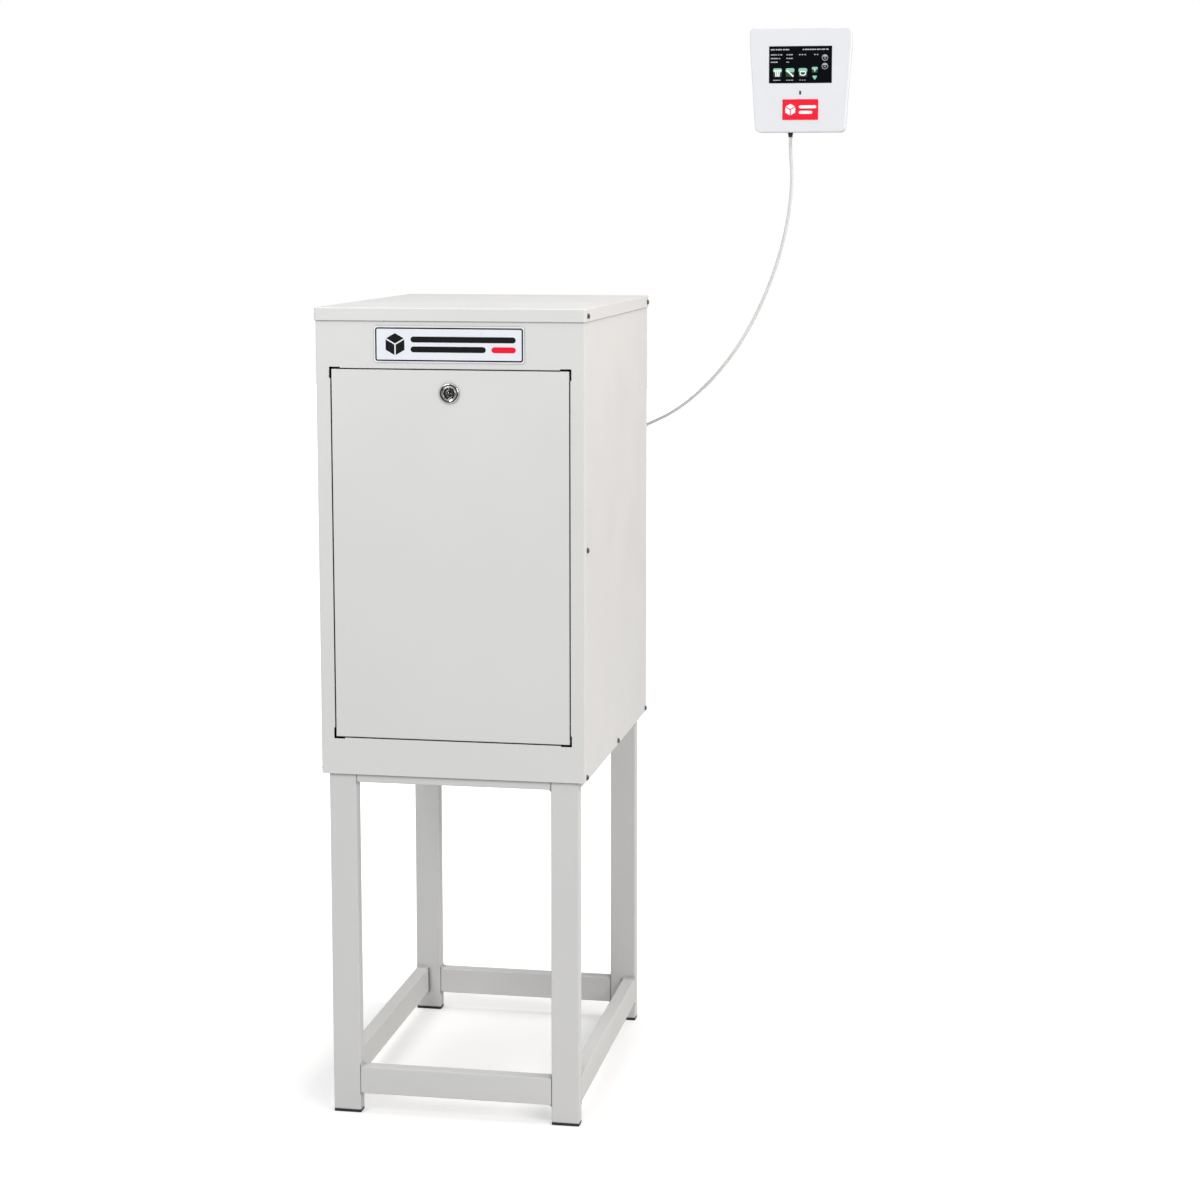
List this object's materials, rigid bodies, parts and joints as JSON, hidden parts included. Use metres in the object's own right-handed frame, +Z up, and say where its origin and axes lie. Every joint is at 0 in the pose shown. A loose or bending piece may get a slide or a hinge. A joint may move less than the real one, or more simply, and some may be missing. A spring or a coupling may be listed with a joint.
{
  "type": "parcel locker",
  "caption": "Narrow sheet-steel locker with a drop-down door and quarter-turn lock on a welded tube stand, with a wall touch panel on a cable.",
  "frame": {"origin": "on the floor, midway between the four feet of the stand", "axes": "+Z up, -Y towards someone who faces the door, +X to their right"},
  "size_m": [0.6929, 0.6085, 1.568],
  "materials": {
    "cabinet_paint": "fine textured powder coat, light grey white",
    "stand_paint": "fine textured powder coat, light grey white",
    "zinc": "bright zinc plate",
    "chrome": "polished die cast",
    "black_plastic": "moulded, matt",
    "black_rubber": "matt",
    "label_white": "printed with a thin black border",
    "module_grey": "moulded, matt",
    "module_dark": "moulded, matt",
    "panel_white": "moulded, fine texture",
    "lens_dark": "clear smoked lens",
    "board_green": "solder mask",
    "screen_black": "lit touch screen",
    "label_red": "printed foil",
    "cable_grey": "soft PVC sheath"
  },
  "bodies": {
    "cabinet": {"leg_front_left": "stand_paint", "leg_front_right": "stand_paint", "leg_rear_left": "stand_paint", "leg_rear_right": "stand_paint", "foot_caps": "black_plastic", "top_rail_front": "stand_paint", "top_rail_rear": "stand_paint", "top_rail_left": "stand_paint", "top_rail_right": "stand_paint", "stretcher_front": "stand_paint", "stretcher_rear": "stand_paint", "stretcher_left": "stand_paint", "stretcher_right": "stand_paint", "side_screws": "zinc", "lid_screws": "zinc", "rear_screws": "zinc", "stand_bolts": "zinc", "stand_washers": "zinc", "stand_nuts": "zinc", "body_shell": "cabinet_paint", "floor_tray": "cabinet_paint", "lid": "cabinet_paint", "rear_panel": "cabinet_paint", "door_posts": "cabinet_paint", "label_plate": "label_white", "stay_studs": "zinc", "closing_stops": "zinc", "stop_buffers": "black_rubber", "door_sensor": "module_grey", "equipment_plate": "zinc", "plate_standoffs": "zinc", "din_rail": "zinc", "power_supply": "module_grey", "circuit_breaker": "module_grey", "controller": "module_dark", "terminal_row": "module_grey", "cable_gland": "black_plastic", "gland_nut": "black_plastic", "entry_plug": "black_rubber", "panel_cover": "panel_white", "indicator_light": "lens_dark", "panel_base": "panel_white", "panel_board": "board_green", "display_module": "module_grey", "touch_glass": "screen_black", "panel_label": "label_red", "cable_relief": "black_rubber", "panel_cable": "cable_grey"},
    "door": {"door_panel": "cabinet_paint", "door_stiffener": "cabinet_paint", "hinge_pins": "zinc", "door_stays": "zinc", "stay_rivets": "zinc", "door_magnet": "module_grey", "lock_housing": "chrome", "lock_nut": "zinc"},
    "lock_barrel": {"lock_plug": "chrome", "lock_cam": "zinc", "cam_screw": "zinc"},
    "toggle": {"breaker_toggle": "black_plastic"}
  },
  "joints": [
    {"name": "door_hinge", "type": "hinge", "parent": "cabinet", "child": "door", "pos_m": [0, -0.2465, 0.5825], "axis": [1, 0, 0], "range_deg": [0, 90]},
    {"name": "lock_turn", "type": "hinge", "parent": "door", "child": "lock_barrel", "pos_m": [0, -0.232, 1.04], "axis": [0, -1, 0], "range_deg": [0, 90]},
    {"name": "breaker_switch", "type": "hinge", "parent": "cabinet", "child": "toggle", "pos_m": [-0.06, 0.1865, 0.96], "axis": [1, 0, 0], "range_deg": [0, 40]}
  ]
}
